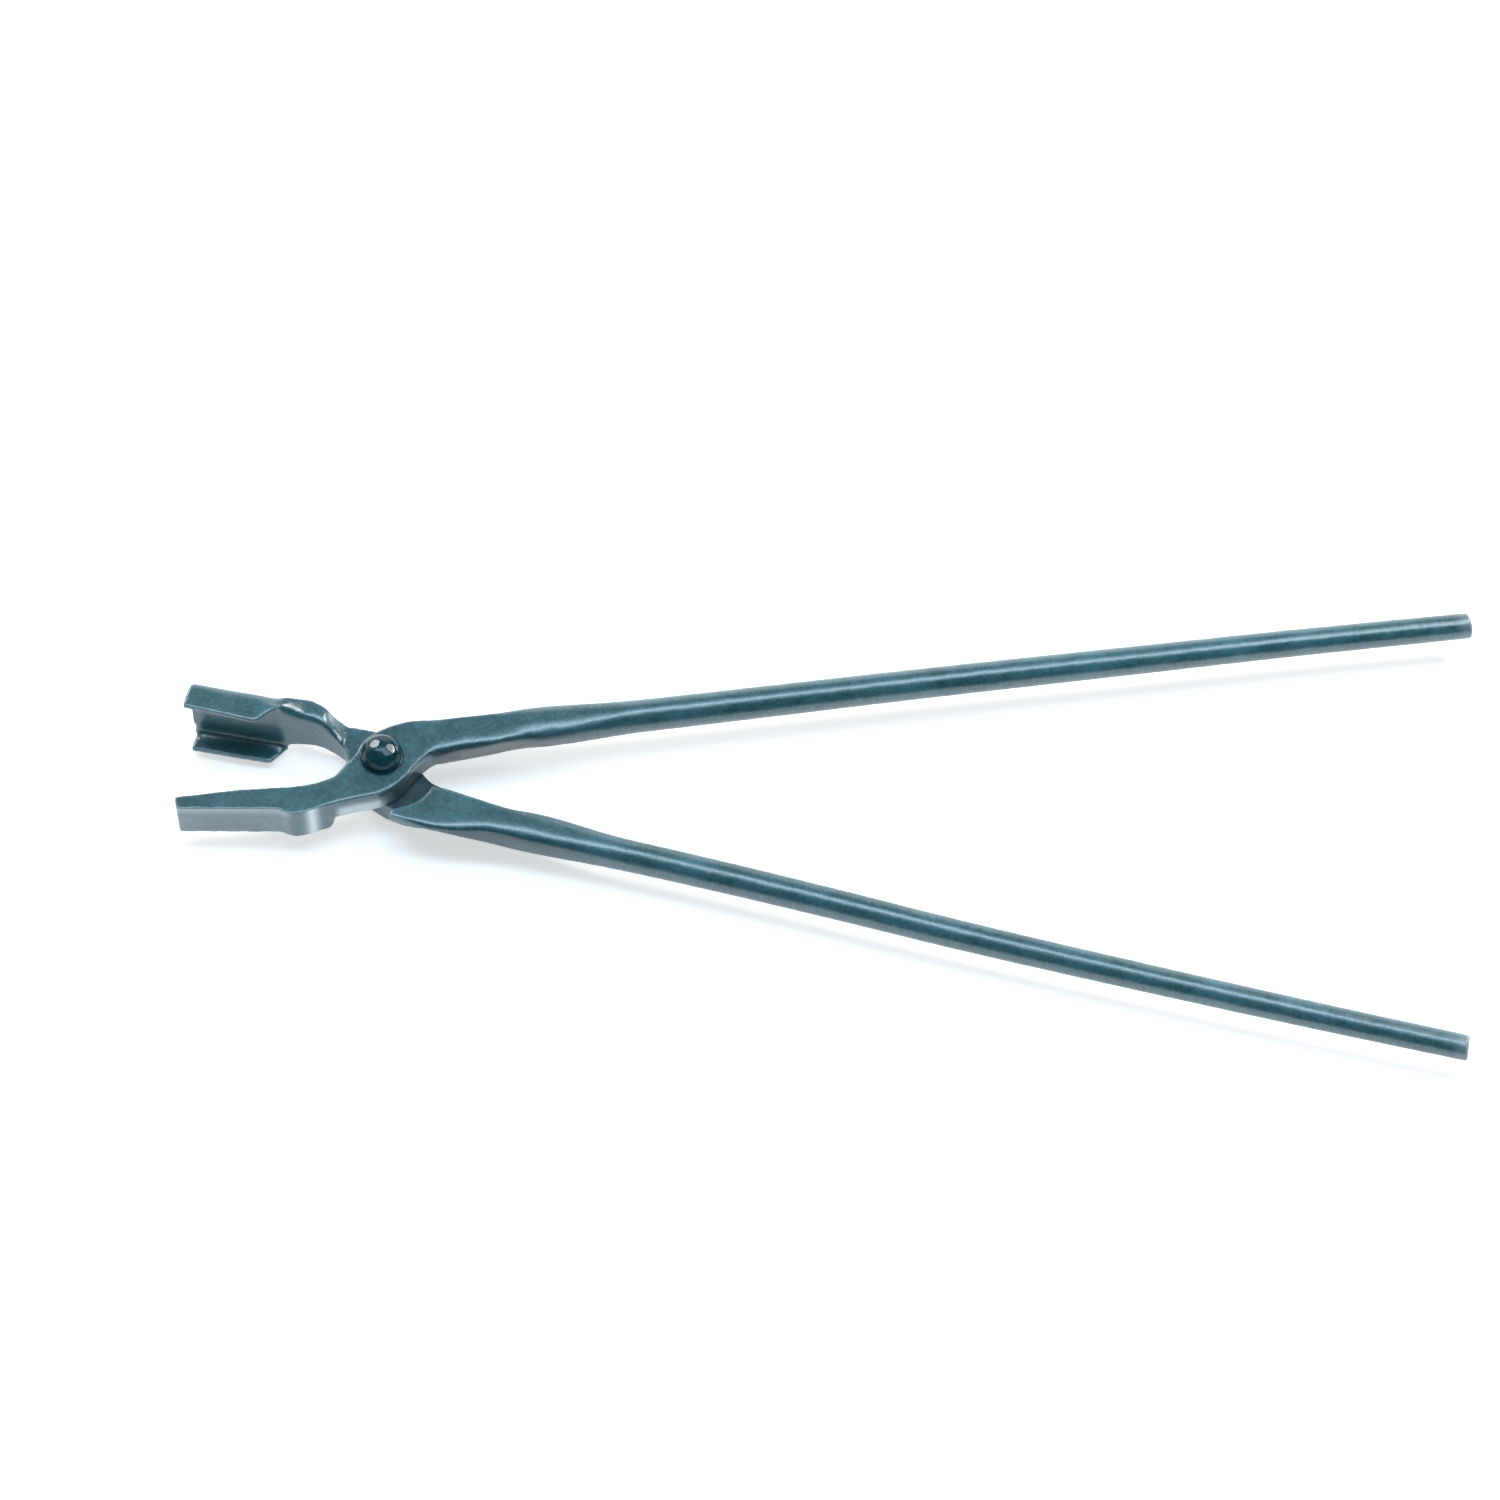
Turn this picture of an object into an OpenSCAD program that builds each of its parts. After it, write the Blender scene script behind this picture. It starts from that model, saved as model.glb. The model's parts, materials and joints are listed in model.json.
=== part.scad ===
// Blacksmith's box-jaw tongs: two forged halves that cross in a half lap, and one rivet.
// One half ends in a box jaw, a plate with two lips that keeps flat stock from slipping out.
// The other half ends in a plain flat jaw that closes into the box.
// Units are millimetres. The tongs lie flat with their rivet upright, as they rest on a bench.
// The origin is on the rivet axis at the small flat under the rivet's tail.

/* [Reins] */
// Distance from the rivet axis to the end of a rein, along the rein
rein_len = 421; // [200:1:600]
// Diameter of a rein where it turns round, past the shoulder
rein_d = 13.1; // [10:0.1:15]
// Diameter of a rein at its end
rein_end_d = 10.1; // [8:0.1:14]
// Width of the sheared edge at the end of a rein
rein_end_chamfer = 0.8; // [0.2:0.1:2]
// Half of the angle between the two reins as the tongs lie
rein_spread = 11.3; // [9:0.1:16]
// Distance from the rivet axis to the centre line of a rein
rein_offset = 11.7; // [10:0.1:13]
// Distance from the rivet axis at which a rein has become round
rein_round_at = 108; // [90:1:140]

/* [Bar and lap] */
// Thickness of the forged bar at the jaws and the shoulders
bar_t = 16.4; // [14:0.1:20]
// Thickness of each half at the lap
lap_t = 10.2; // [8:0.1:12]
// Gap between the two lap faces
lap_gap = 0.1; // [0.05:0.01:0.3]
// Radius of the pocket that lets the other half's lap turn
pocket_r = 21; // [20.5:0.1:23]
// Distance from the rivet axis to the edge of the lap beside the throat
boss_r = 10.3; // [9:0.1:11]
// Width of the flattened rein on the outer face of the shoulder
shoulder_w = 11.4; // [10:0.1:13]
// How far the foot of the shoulder swells out past that face
shoulder_swell = 9; // [2:0.1:10]
// How far the inner face of the shoulder leans out over the thickness of the bar
shoulder_lean = 3.7; // [0:0.1:5]
// Angle that this leaning face turns away from the rein, in plan
lean_turn = 5; // [0:0.1:9]

/* [Rivet] */
// Diameter of the rivet's shank
shank_d = 9; // [7:0.1:11]
// Radial running clearance of the rivet in the flat-jaw half
shank_clear = 0.06; // [0.02:0.01:0.1]
// Diameter of the domed head
head_d = 16.4; // [14:0.1:18]
// Height of the domed head
head_h = 8.6; // [5:0.1:9]
// Height of the straight rim under both domes
head_rim = 0.5; // [0.2:0.1:1.5]
// Diameter of the closed tail on the underside
tail_d = 15.6; // [14:0.1:18]
// Height of the closed tail
tail_h = 6; // [4:0.1:8]
// Diameter of the flat hammered on the tail
tail_flat_d = 6; // [3:0.1:8]
// Gap between the domed head and the lap that turns under it
head_gap = 0.1; // [0.05:0.01:0.3]

/* [Both jaws] */
// Distance from the rivet axis to the tip of the flat jaw
jaw_len = 79; // [69:1:110]
// How far the tip of the box jaw lies behind the tip of the flat jaw
box_back = 1; // [0:0.1:3]

/* [Flat jaw] */
// Angle between the flat jaw's gripping face and the tongs' centre line
flat_ang = 11.7; // [8:0.1:14]
// Distance from the rivet axis to the line of the flat jaw's gripping face
flat_set = 7.1; // [6:0.1:8]
// Width of the flat jaw at its tip
flat_tip_w = 5.6; // [4:0.1:9]
// Width of the flat jaw at its root
flat_root_w = 11; // [9:0.1:12]

/* [Box jaw] */
// Length of the lips along the box jaw
lip_len = 29; // [20:1:32]
// Angle between the box jaw's floor and the tongs' centre line
box_ang = 7.5; // [5:0.1:10]
// Distance from the rivet axis to the line of the box jaw's floor
box_set = 11.4; // [10.5:0.1:12.5]
// Height of the box jaw over both lips
box_h = 30; // [27:0.1:34]
// Thickness of each lip
lip_t = 2.4; // [1.5:0.1:3]
// Depth of the upper lip at its root
lip_root_depth = 9.2; // [6:0.1:10]
// Depth of the upper lip at its tip
lip_tip_depth = 7.6; // [5:0.1:10]
// Depth of the lower lip
low_lip_depth = 8.4; // [5:0.1:10]
// Thickness of the plate behind the floor
plate_t = 4.6; // [3:0.1:6]
// Radius of the long outer corners of the box jaw
plate_round = 4; // [2:0.1:5]

/* [Hidden] */
$fn = 64;
eps = 0.01;
lacquer = "#3f7178";
dark_lacquer = "#15292c";

// Extra height of what is cut off flush with the outer face of a lap
spare = 2;

// Levels, measured from the plane where the two laps meet
foot_t = bar_t - lap_t;
lap_level = tail_h + lap_t + lap_gap / 2;
// The box is centred on the flat jaw's height, so that jaw closes into its middle
box_mid = (lap_t - foot_t) / 2;

// Places in plan, for a half whose jaw points to -X and whose rein points to +X.
// d runs along the jaw or rein from the rivet axis, w runs outwards from the tongs' middle.
function at_angle(a, d, w) = [d * cos(a) - w * sin(a), d * sin(a) + w * cos(a)];
function flat_at(d, w) = -at_angle(flat_ang, d, w);
function box_at(d, w) = -at_angle(box_ang, d, w);
function rein_at(d, w) = at_angle(rein_spread, d, w);
function rim(angle, r) = [r * cos(angle), r * sin(angle)];

// A smooth run through hand-set points
function bend(a, b, c, d, t) =
    0.5 * (2 * b + (c - a) * t + (2 * a - 5 * b + 4 * c - d) * t * t + (3 * b - a - 3 * c + d) * t * t * t);
function run(p, steps = 4) = [
    for (i = [0:len(p) - 2], k = [0:steps - 1])
        bend(p[max(i - 1, 0)], p[i], p[i + 1], p[min(i + 2, len(p) - 1)], k / steps),
    p[len(p) - 1]
];

// The rein's own edges where it leaves the lap
rein_in = rein_offset - 3.2 - shoulder_w / 2;
rein_out = rein_in + shoulder_w;
rein_start = 46;
// Where the rounded root of the fork runs out into the straight edge, along the rein
fork_at = 24.3;

lap_face = lap_t + lap_gap / 2;
rein_mid = (lap_face - foot_t) / 2;
square_end = rein_d / 3;
shoulder_plan = concat(
    run([[9, rein_in - 8], [fork_at - 5.5, rein_in - 3.1], [fork_at, rein_in - 0.9],
         [fork_at + 6, rein_in + 0.1], [rein_start - 10, rein_in + 0.1], [rein_start, rein_in]]),
    [[rein_round_at, rein_offset - square_end], [rein_round_at, rein_offset + square_end],
     [rein_start, rein_out + shoulder_swell / 2], [34, rein_out + shoulder_swell - 1],
     [24, rein_out + shoulder_swell], [9, rein_out + shoulder_swell - 1.4]]
);
shoulder_side = [
    [0, -bar_t], [rein_start - spare, -foot_t - spare], [rein_start, -foot_t],
    [rein_round_at, rein_mid - square_end], [rein_round_at, rein_mid + square_end],
    [rein_start, lap_face], [rein_start - spare, lap_face + spare], [0, bar_t + spare]
];

// Distance in front of the rivet axis at which a half steps up from the lap to the full bar
lap_step = 15.8;
// Where the foot under the flat jaw's arm ends, in plan: it turns forward as it nears the outer side
foot_edge = run([
    [-lap_step, -14], [-lap_step - 0.8, -19], [-lap_step - 1.5, -21.8], [-lap_step - 3.4, -23.8],
    [-lap_step - 8, -26]
]);

// The edge of the lap from the jaw's outer root, round below the rivet, to the rein's inner edge
lap_outer = [
    rim(252, pocket_r - 1.3), rim(268, boss_r + 6.9), rim(281, boss_r + 5.1), rim(297, boss_r + 3.7),
    rim(319, boss_r + 2.5), rim(345, boss_r + 2.7),
    rein_at(fork_at - 8.8, rein_in - 5.4), rein_at(fork_at - 5.5, rein_in - 3.1),
    rein_at(fork_at, rein_in - 0.9), rein_at(fork_at + 6, rein_in + 0.1)
];

// The edge of the lap from the rein's outer edge, round above the rivet, to the throat
lap_inner = [
    rein_at(24, rein_out), rim(56, boss_r + 11.4), rim(68, boss_r + 7.8),
    rim(90, boss_r + 3.5), rim(122, boss_r + 0.9), rim(154, boss_r), rim(174, boss_r + 0.1),
    rim(196, boss_r + 3.8)
];

flat_root = 41;
flat_outline = concat(
    run(lap_outer),
    run(lap_inner),
    run([flat_at(18.5, flat_set - 1.2), flat_at(25, flat_set + 0.6), flat_at(33, flat_set + 1.4),
         flat_at(flat_root + 4, flat_set + 0.7), flat_at(flat_root + 14, flat_set)]),
    [flat_at(jaw_len, flat_set), flat_at(jaw_len - 0.3, flat_set + flat_tip_w)],
    run([flat_at(flat_root, flat_set + flat_root_w), flat_at(37.9, flat_set + flat_root_w + 2),
         flat_at(34, flat_set + flat_root_w + 2.9), flat_at(29.6, flat_set + flat_root_w + 2.4),
         flat_at(25, flat_set + flat_root_w + 1.2), flat_at(17.6, flat_set + flat_root_w)])
);

box_len = jaw_len - box_back;
lip_root = box_len - lip_len;
arm_start = lip_root - 7.5;
arm_in = box_set + 0.6;
arm_out = box_set + plate_t + 3.4;
box_plate_outline = concat(
    run(lap_outer),
    run(lap_inner),
    run([box_at(17.4, arm_in - 3.9), box_at(20.7, arm_in - 2.2), box_at(26, arm_in),
         box_at(31, arm_in + 0.8), box_at(36.3, arm_in + 0.3), box_at(arm_start, box_set)]),
    [box_at(box_len, box_set), box_at(box_len - 0.8, box_set + plate_t)],
    run([box_at(lip_root, box_set + plate_t), box_at(arm_start - 1, arm_out - 0.8),
         box_at(34.1, arm_out + 2), box_at(29, arm_out + 1.3), box_at(23.7, arm_out - 0.6),
         box_at(18.6, arm_out - 1.6)])
);
upper_lip_outline = [
    box_at(arm_start, box_set + eps), box_at(lip_root, box_set - lip_root_depth),
    box_at(box_len, box_set - lip_tip_depth), box_at(box_len, box_set + eps)
];
lower_lip_outline = [
    box_at(arm_start - 1, box_set + eps), box_at(lip_root - 3, box_set - low_lip_depth),
    box_at(box_len - 1.2, box_set - low_lip_depth), box_at(box_len - 1.2, box_set + eps)
];

box_top = box_mid + box_h / 2;
box_low = box_mid - box_h / 2;

// Distance at which the underside of the box half turns down towards its lower lip
under_end = 36;
// The box half seen from the side: as tall as the box at one end, as the bar past the arm,
// and stepped down to the lap plane where the other half crosses it
arm_profile = concat(
    [[-2 * box_len, box_low], [-2 * box_len, box_top], [-lip_root + 1, box_top]],
    run([[-arm_start + 1, box_top - 2.6], [-36.5, box_top - 5.2], [-32, foot_t + 2.8], [-28, foot_t + 2],
         [-24, foot_t + 1], [-20.5, foot_t - 2.4], [-lap_step, -lap_gap / 2]]),
    [[2 * rein_start, -lap_gap / 2], [2 * rein_start, -lap_face - spare],
     [spare - under_end, -lap_face - spare], [-under_end, -lap_face], [-lip_root + 2, box_low]]
);

// A half lies either way up: the flat-jaw half as it is, the box half turned over about X.
module seat() {
    translate([0, 0, lap_level]) children();
}
module turn_over() {
    rotate([180, 0, 0]) children();
}

// The pocket under a lap, where the other half's lap turns
module pocket(depth) {
    translate([0, 0, -depth]) cylinder(r = pocket_r, h = depth + lap_gap / 2, $fn = 128);
}

// The flattened shoulder, which narrows to a square that vanishes inside the round rein.
// It is the common part of its plan, its side view and its section across the rein.
module shoulder() {
    intersection() {
        translate([0, 0, -bar_t]) linear_extrude(3 * bar_t) polygon(shoulder_plan);
        rotate([90, 0, 0]) linear_extrude(8 * rein_d, center = true) polygon(shoulder_side);
        rotate([90, 0, 90]) linear_extrude(2 * rein_round_at) polygon([
            [rein_in, lap_face], [rein_in, lap_face + spare / 2], [rein_out, lap_face + spare / 2],
            [rein_out, lap_face],
            [rein_out + shoulder_swell, -foot_t + 2], [rein_out + shoulder_swell - 1.2, -foot_t],
            [rein_in, -foot_t]
        ]);
    }
}

// What the leaning face cuts off the inner side of the shoulder
module lean_cut() {
    translate([rein_start, rein_in, lap_face]) rotate([0, 0, lean_turn])
        rotate([atan(shoulder_lean / bar_t), 0, 0])
            translate([-2 * rein_start, -bar_t, -3 * bar_t]) cube([4 * rein_start, bar_t, 4 * bar_t]);
}

// The shoulder and the tapered round rein with its sheared end
module rein() {
    rotate([0, 0, rein_spread]) {
        difference() {
            shoulder();
            lean_cut();
        }
        translate([rein_start + spare, rein_offset, rein_mid]) rotate([0, 90, 0])
            cylinder(d1 = rein_d, d2 = rein_end_d, h = rein_len - rein_start - spare - rein_end_chamfer);
        translate([rein_len - rein_end_chamfer, rein_offset, rein_mid]) rotate([0, 90, 0])
            cylinder(d1 = rein_end_d, d2 = rein_end_d - 2 * rein_end_chamfer, h = rein_end_chamfer);
    }
}

// What is cut off a half above the outer face of its lap, as far as the distance reach towards the jaw
module outer_cut(reach) {
    translate([-reach, -4 * pocket_r, lap_face]) cube([reach + 2 * rein_round_at, 8 * pocket_r, 2 * bar_t]);
}

// The hole for the rivet's shank
module shank_hole(clearance) {
    cylinder(d = shank_d + 2 * clearance, h = 4 * lap_t, center = true);
}

// The flat jaw, its arm and its lap
module flat_plate() {
    difference() {
        translate([0, 0, -foot_t]) linear_extrude(bar_t + spare) polygon(flat_outline);
        translate([0, 0, -2 * foot_t]) linear_extrude(2 * foot_t + lap_gap / 2)
            polygon(concat(
                [[2 * pocket_r, -2 * pocket_r], [2 * pocket_r, 2 * pocket_r], [-lap_step, 2 * pocket_r]],
                foot_edge
            ));
    }
}

module flat_jaw_half() {
    color(lacquer) seat() difference() {
        union() {
            flat_plate();
            rein();
        }
        pocket(foot_t + 1);
        outer_cut(2 * jaw_len);
        shank_hole(shank_clear);
    }
}

// Rounds one long outer corner of the box jaw; z is the level of that corner and up is 1 or -1
module long_corner(z, up) {
    outer = box_set + plate_t;
    rotate([0, 0, 180 + box_ang]) translate([arm_start, outer, z]) difference() {
        translate([0, -plate_round, up > 0 ? -plate_round : -1])
            cube([2 * lip_len, plate_round + 2, plate_round + 1]);
        translate([-1, -plate_round, -up * plate_round]) rotate([0, 90, 0])
            cylinder(r = plate_round, h = 3 * lip_len);
    }
}

// The plate, arm and lap of the box half, drawn the other way up, as the flat-jaw half lies
module box_plate() {
    intersection() {
        translate([0, 0, -box_top - 1]) linear_extrude(box_h + 4) polygon(box_plate_outline);
        rotate([90, 0, 0]) linear_extrude(4 * pocket_r, center = true)
            polygon([for (p = arm_profile) [p[0], -p[1]]]);
    }
}

module box_jaw_half() {
    color(lacquer) seat() turn_over() difference() {
        union() {
            box_plate();
            rein();
            translate([0, 0, -box_top]) linear_extrude(lip_t) polygon(upper_lip_outline);
            translate([0, 0, -box_low - lip_t]) linear_extrude(lip_t) polygon(lower_lip_outline);
        }
        pocket(box_top);
        outer_cut(under_end + eps);
        long_corner(-box_top, -1);
        long_corner(-box_low, 1);
        shank_hole(0);
    }
}

// A domed head: a short straight rim under a cap of a ball, with a flat on top where one is hammered
module dome(d, h, rim_h, flat_d) {
    r = d / 2;
    flat_r = flat_d / 2;
    centre = (flat_r * flat_r + h * h - r * r - rim_h * rim_h) / (2 * (h - rim_h));
    ball = sqrt(r * r + (rim_h - centre) * (rim_h - centre));
    low = atan2(r, rim_h - centre);
    high = atan2(flat_r, h - centre);
    rotate_extrude($fn = 96) polygon(concat(
        [[0, 0], [r, 0]],
        [for (i = [0:12]) let (a = low + (high - low) * i / 12) [ball * sin(a), centre + ball * cos(a)]],
        flat_d > 0 ? [[0, h]] : []
    ));
}

module rivet() {
    color(dark_lacquer) seat() {
        translate([0, 0, lap_face + head_gap]) dome(head_d, head_h, head_rim, 0);
        translate([0, 0, -lap_face]) cylinder(d = shank_d, h = 2 * lap_face + head_gap);
        translate([0, 0, -lap_face]) turn_over() dome(tail_d, tail_h, head_rim, tail_flat_d);
    }
}

flat_jaw_half();
box_jaw_half();
rivet();
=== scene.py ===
"""Looks of a pair of blacksmith's box-jaw tongs: two forged, lacquered halves and one hammered rivet.

Lengths in the property groups are real sizes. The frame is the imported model's: rivet axis at the
origin and upright, jaws towards -X, rein ends towards +X, box jaw towards +Y, metres.
"""

import json
import math

import bpy
import bmesh
import numpy as np
from bpy.props import FloatProperty, FloatVectorProperty, IntProperty, PointerProperty
from bpy.types import Operator, Panel, PropertyGroup
from mathutils import Matrix, Vector, noise


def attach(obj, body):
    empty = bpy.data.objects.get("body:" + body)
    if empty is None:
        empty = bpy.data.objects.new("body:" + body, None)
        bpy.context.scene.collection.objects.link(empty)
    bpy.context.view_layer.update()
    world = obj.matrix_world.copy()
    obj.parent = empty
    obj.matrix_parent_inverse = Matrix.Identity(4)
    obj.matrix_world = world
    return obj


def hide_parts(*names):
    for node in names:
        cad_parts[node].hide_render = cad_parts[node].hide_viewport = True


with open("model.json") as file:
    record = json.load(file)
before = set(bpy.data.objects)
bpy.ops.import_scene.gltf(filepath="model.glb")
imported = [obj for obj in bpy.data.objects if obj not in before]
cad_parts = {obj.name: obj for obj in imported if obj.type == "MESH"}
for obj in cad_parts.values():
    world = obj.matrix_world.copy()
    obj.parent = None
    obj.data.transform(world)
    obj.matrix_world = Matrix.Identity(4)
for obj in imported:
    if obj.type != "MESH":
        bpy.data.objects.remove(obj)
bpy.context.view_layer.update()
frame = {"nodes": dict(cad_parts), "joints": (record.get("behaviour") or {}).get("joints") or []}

bl_info = {
    "name": "Box-Jaw Tongs",
    "version": (1, 0, 0),
    "blender": (4, 5, 0),
    "location": "3D View > Sidebar > Tongs",
    "description": "Forged surfaces, lacquer and studio for a pair of box-jaw tongs",
    "category": "Object",
}

MM = 0.001
# Levels of the two laps, as the frame has them
LAP_LEVEL = frame["joints"][0]["pos_m"][2]
HEAD_BASE = 26.6 * MM
TAIL_BASE = 6.0 * MM


def length(name, description, default, low=0.0, high=1.0):
    """A size in metres that a user may change."""
    return FloatProperty(
        name=name, description=description, default=default, min=low, max=high,
        subtype="DISTANCE", unit="LENGTH", precision=5,
    )


def share(name, description, default, high=1.0):
    """A plain factor from 0 to high."""
    return FloatProperty(name=name, description=description, default=default, min=0.0, max=high, subtype="FACTOR")


def turn(name, description, degrees):
    """An angle, given in degrees."""
    return FloatProperty(name=name, description=description, default=math.radians(degrees), subtype="ANGLE", unit="ROTATION")


def colour(name, description, default):
    """A linear colour."""
    return FloatVectorProperty(
        name=name, description=description, default=default, size=3, min=0.0, max=1.0, subtype="COLOR"
    )


class TongsForm(PropertyGroup):
    """Sizes of the forged halves and the rivet."""

    mesh_step: length("Mesh Step", "Size of the faces of the forged surface", 0.5 * MM, 0.2 * MM, 2 * MM)
    edge_steps: IntProperty(
        name="Edge Rounding", description="How often the forged surface is relaxed", default=6, min=0, max=40
    )
    rein_offset: length("Rein Offset", "Distance from the rivet axis to a rein's centre line", 11.7 * MM)
    rein_spread: turn("Rein Spread", "Angle of each rein away from the middle", 11.3)
    rein_rise: length("Rein Rise", "Height of a rein's centre line over or under the lap plane", 2.025 * MM)
    rein_length: length("Rein Length", "Distance from the rivet axis to a rein's end", 421 * MM)
    rein_root_d: length("Rein Root Diameter", "Diameter of a rein where it leaves its shoulder", 13.0 * MM)
    rein_end_d: length("Rein End Diameter", "Diameter of a rein at its end", 10.0 * MM)
    box_rein_slim: share("Box Rein Slimness", "Diameter of the box half's rein as a share of the other's", 0.965)
    flat_from: length("Shoulder End", "Distance at which the shoulder starts to turn round", 44 * MM)
    round_from: length("Round From", "Distance from which a rein is round", 101 * MM)
    shoulder_half_w: length("Shoulder Half Width", "Half of the shoulder's width", 7.0 * MM)
    shoulder_swell: length("Shoulder Swell", "How much taller the shoulder is than the rein, each way", 2.0 * MM)
    shoulder_in: length("Shoulder Offset", "How far the shoulder's middle lies inside the rein's", 0.6 * MM)
    fork_swell: length("Fork Swell", "How far the lap's inner edge is pressed out over the fork", 2.3 * MM)
    shoulder_lean: FloatProperty(
        name="Shoulder Lean", description="Sideways lean of the shoulder over its height", default=0.16, min=0.0, max=0.5
    )
    soft_edges: IntProperty(
        name="Drawn Edges", description="How often the long edges that the hammer drew round are relaxed",
        default=100, min=0, max=300,
    )
    bow: FloatProperty(
        name="Rein Bow", description="Share of the bends that hammering left in the reins", default=1.0, min=0.0, max=2.0
    )
    hammer_depth: length("Hammer Marks", "Depth of the shallow hammer marks", 0.1 * MM)
    head_d: length("Rivet Head Diameter", "Diameter of the domed head", 16.4 * MM)
    head_h: length("Rivet Head Height", "Height of the domed head", 8.5 * MM)
    tail_d: length("Rivet Tail Diameter", "Diameter of the closed tail", 15.6 * MM)
    shank_d: length("Rivet Shank Diameter", "Diameter of the shank", 9 * MM)
    facet_depth: length("Rivet Facets", "Depth of the hammered facets on the rivet", 0.12 * MM)


class TongsFinish(PropertyGroup):
    """Colours and wear of the lacquer; the worn-edge and bare-steel colours also paint highlights."""

    lacquer: colour("Lacquer", "Colour of the lacquer where it is thick", (0.006, 0.062, 0.073))
    lacquer_pale: colour("Pale Lacquer", "Colour of the lacquer where it is thin", (0.038, 0.154, 0.188))
    # The worn-edge colour also serves as a painted highlight along the edges
    worn: colour("Worn Edge", "Colour of edges where the lacquer is worn thin", (0.24, 0.40, 0.48))
    # Bare steel also colours the painted sheen on the flat-jaw half
    steel: colour("Bare Steel", "Colour of bare steel", (0.75, 0.78, 0.80))
    rivet_dark: colour("Rivet", "Colour of the rivet's dark lacquer", (0.003, 0.020, 0.026))
    # Wear also sets how strong the painted edge highlight is
    wear: share("Wear", "How much of the edges is worn", 0.55)


class TongsStudio(PropertyGroup):
    """Camera, floor and lamps."""

    elevation: turn("Camera Elevation", "Angle of the camera above the floor", 56.0)
    azimuth: turn("Camera Azimuth", "Angle of the camera round the tongs", 4.47)
    roll: turn("Camera Roll", "Roll of the camera about its axis", -0.57)
    distance: length("Camera Distance", "Distance from the camera to the point it looks at", 2.130, 0.1, 10.0)
    lens: FloatProperty(name="Lens", description="Focal length on a 36 mm sensor", default=134.8, unit="CAMERA")
    look_x: length("Look At X", "Point that the camera looks at, along the tongs", 137.7 * MM)
    look_y: length("Look At Y", "Point that the camera looks at, across the tongs", 19.07 * MM)
    floor: colour("Floor", "Colour of the floor", (0.80, 0.80, 0.80))
    fill_power: FloatProperty(name="Fill", description="Power of the soft overhead fill", default=6.0, unit="POWER")
    side_power: FloatProperty(name="Side", description="Power of the lamp at the right", default=1.7, unit="POWER")
    front_power: FloatProperty(name="Front", description="Power of the soft fill in front", default=4.0, unit="POWER")
    spark_power: FloatProperty(name="Sparks", description="Power of each small hard lamp", default=2.8, unit="POWER")
    strip_power: FloatProperty(name="Strip", description="Power of the overhead strip lamp", default=10.0, unit="POWER")


def smooth(x, low, high):
    """Runs smoothly from 0 at low to 1 at high."""
    t = np.clip((x - low) / (high - low), 0.0, 1.0)
    return t * t * (3.0 - 2.0 * t)


def mix(a, b, t):
    return a + (b - a) * t


# Forged surfaces

def remeshed(node, name, step):
    """A new closed mesh of even faces over a copy of a CAD node's surface."""
    source = bpy.data.objects.new(name + "_source", frame["nodes"][node].data.copy())
    bpy.context.scene.collection.objects.link(source)
    skin = source.modifiers.new("even_faces", "REMESH")
    skin.mode = "VOXEL"
    skin.voxel_size = step
    bpy.context.view_layer.update()
    seen = source.evaluated_get(bpy.context.evaluated_depsgraph_get())
    mesh = bpy.data.meshes.new_from_object(seen)
    mesh.name = name
    old = source.data
    bpy.data.objects.remove(source)
    bpy.data.meshes.remove(old)
    mesh.materials.clear()
    return mesh


def points_of(mesh):
    at = np.zeros(len(mesh.vertices) * 3)
    mesh.vertices.foreach_get("co", at)
    return at.reshape(-1, 3)


def edges_of(mesh):
    ends = np.zeros(len(mesh.edges) * 2, np.int64)
    mesh.edges.foreach_get("vertices", ends)
    return ends.reshape(-1, 2)


def neighbour_mean(values, ends, count):
    """The mean of each point's neighbours, for one column or several."""
    total = np.zeros_like(values)
    for column in range(values.shape[1]):
        for a, b in ((0, 1), (1, 0)):
            total[:, column] += np.bincount(ends[:, a], values[ends[:, b], column], len(values))
    return total / count[:, None]


def relaxed(at, ends, steps, weight=None):
    """Rounds edges: each point moves half way to the mean of its neighbours, steps times."""
    count = np.bincount(ends.ravel(), minlength=len(at)).astype(float)
    pull = 0.5 if weight is None else 0.5 * weight[:, None]
    for _ in range(steps):
        at = at + pull * (neighbour_mean(at, ends, count) - at)
    return at


def sharpness(at, normals, ends, step):
    """Bulge of the surface at each point: about 1 on a tight outer edge and -1 in a tight corner."""
    count = np.bincount(ends.ravel(), minlength=len(at)).astype(float)
    lean = -np.einsum("ij,ij->i", neighbour_mean(at, ends, count) - at, normals)
    bulge = lean[:, None] * 4.0 * MM / step ** 2
    for _ in range(2):
        bulge = 0.5 * bulge + 0.5 * neighbour_mean(bulge, ends, count)
    return bulge[:, 0]


def waves(at, sizes, seed):
    """A smooth random field from -1 to 1 with a wavelength of about sizes, from a few summed waves."""
    rng = np.random.default_rng(seed)
    field = np.zeros(len(at))
    for _ in range(14):
        way = rng.normal(size=3)
        way /= np.linalg.norm(way)
        field += np.sin(at @ (way / sizes) * 2 * math.pi * rng.uniform(0.6, 1.5) + rng.uniform(0, 2 * math.pi))
    return field / math.sqrt(14 * 2)


# Bends left in each rein: distance from the rivet axis and the offset outwards there, in millimetres
FLAT_HALF_BENDS = ((44, 0.0), (62, 0.2), (85, -0.3), (143, -0.1), (200, 0.35), (290, 0.45), (350, 0.45), (421, -0.3))
BOX_HALF_BENDS = ((44, 0.0), (70, -0.4), (128, -0.8), (181, -0.1), (225, 0.9), (290, 1.2), (370, 0.7), (421, -0.1))


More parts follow.
